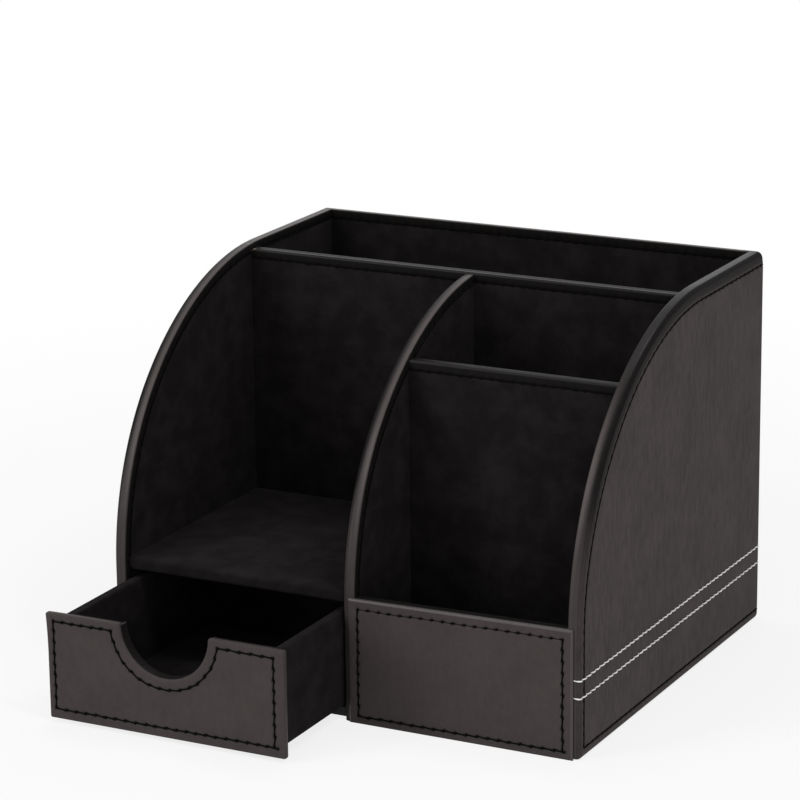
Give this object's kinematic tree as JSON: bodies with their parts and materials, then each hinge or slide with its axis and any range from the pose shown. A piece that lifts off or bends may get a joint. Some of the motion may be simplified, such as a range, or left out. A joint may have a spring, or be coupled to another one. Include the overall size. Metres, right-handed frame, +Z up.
{
  "type": "desk organizer with drawer",
  "caption": "Leather-covered desk organizer with curved sides: note tray over a sliding drawer, phone pocket, pen pocket and a full-width tablet slot.",
  "frame": {"origin": "middle of the cabinet's footprint, on the underside", "axes": "+X to the right seen from the front, +Y to the back, +Z up"},
  "size_m": [0.17, 0.194, 0.1325],
  "materials": {
    "board": "matt greyboard",
    "leather": "fine-grained matt leatherette",
    "edging": "smooth folded leatherette, soft sheen",
    "suede": "black velour lining",
    "felt": "black felt"
  },
  "bodies": {
    "cabinet": {"back_board": "board", "back_edging": "edging", "back_leather": "leather", "back_suede": "suede", "base_board": "board", "base_felt": "felt", "divider_board": "board", "divider_edging": "edging", "divider_pocket_suede": "suede", "divider_tray_suede": "suede", "drawer_bay_floor": "suede", "front_panel_board": "board", "front_panel_leather": "leather", "front_panel_suede": "suede", "left_side_board": "board", "left_side_edging": "edging", "left_side_leather": "leather", "left_side_suede": "suede", "pen_pocket_floor": "suede", "phone_pocket_floor": "suede", "phone_rest_board": "board", "phone_rest_edging": "edging", "phone_rest_front_suede": "suede", "phone_rest_rear_suede": "suede", "right_side_board": "board", "right_side_edging": "edging", "right_side_leather": "leather", "right_side_suede": "suede", "shelf_board": "board", "shelf_suede": "suede", "slot_wall_board": "board", "slot_wall_edging": "edging", "slot_wall_front_suede": "suede", "slot_wall_rear_suede": "suede", "tablet_slot_floor": "suede"},
    "drawer": {"drawer_back_wall": "board", "drawer_bottom_board": "board", "drawer_floor_suede": "suede", "drawer_front_board": "board", "drawer_front_leather": "leather", "drawer_front_wall": "board", "drawer_left_wall": "board", "drawer_notch_edging": "edging", "drawer_right_wall": "board", "drawer_wall_suede": "suede"}
  },
  "joints": [
    {"name": "drawer_slide", "type": "slide", "parent": "cabinet", "child": "drawer", "axis": [0, -1, 0], "range_m": [-0.0397, 0.0361]}
  ]
}
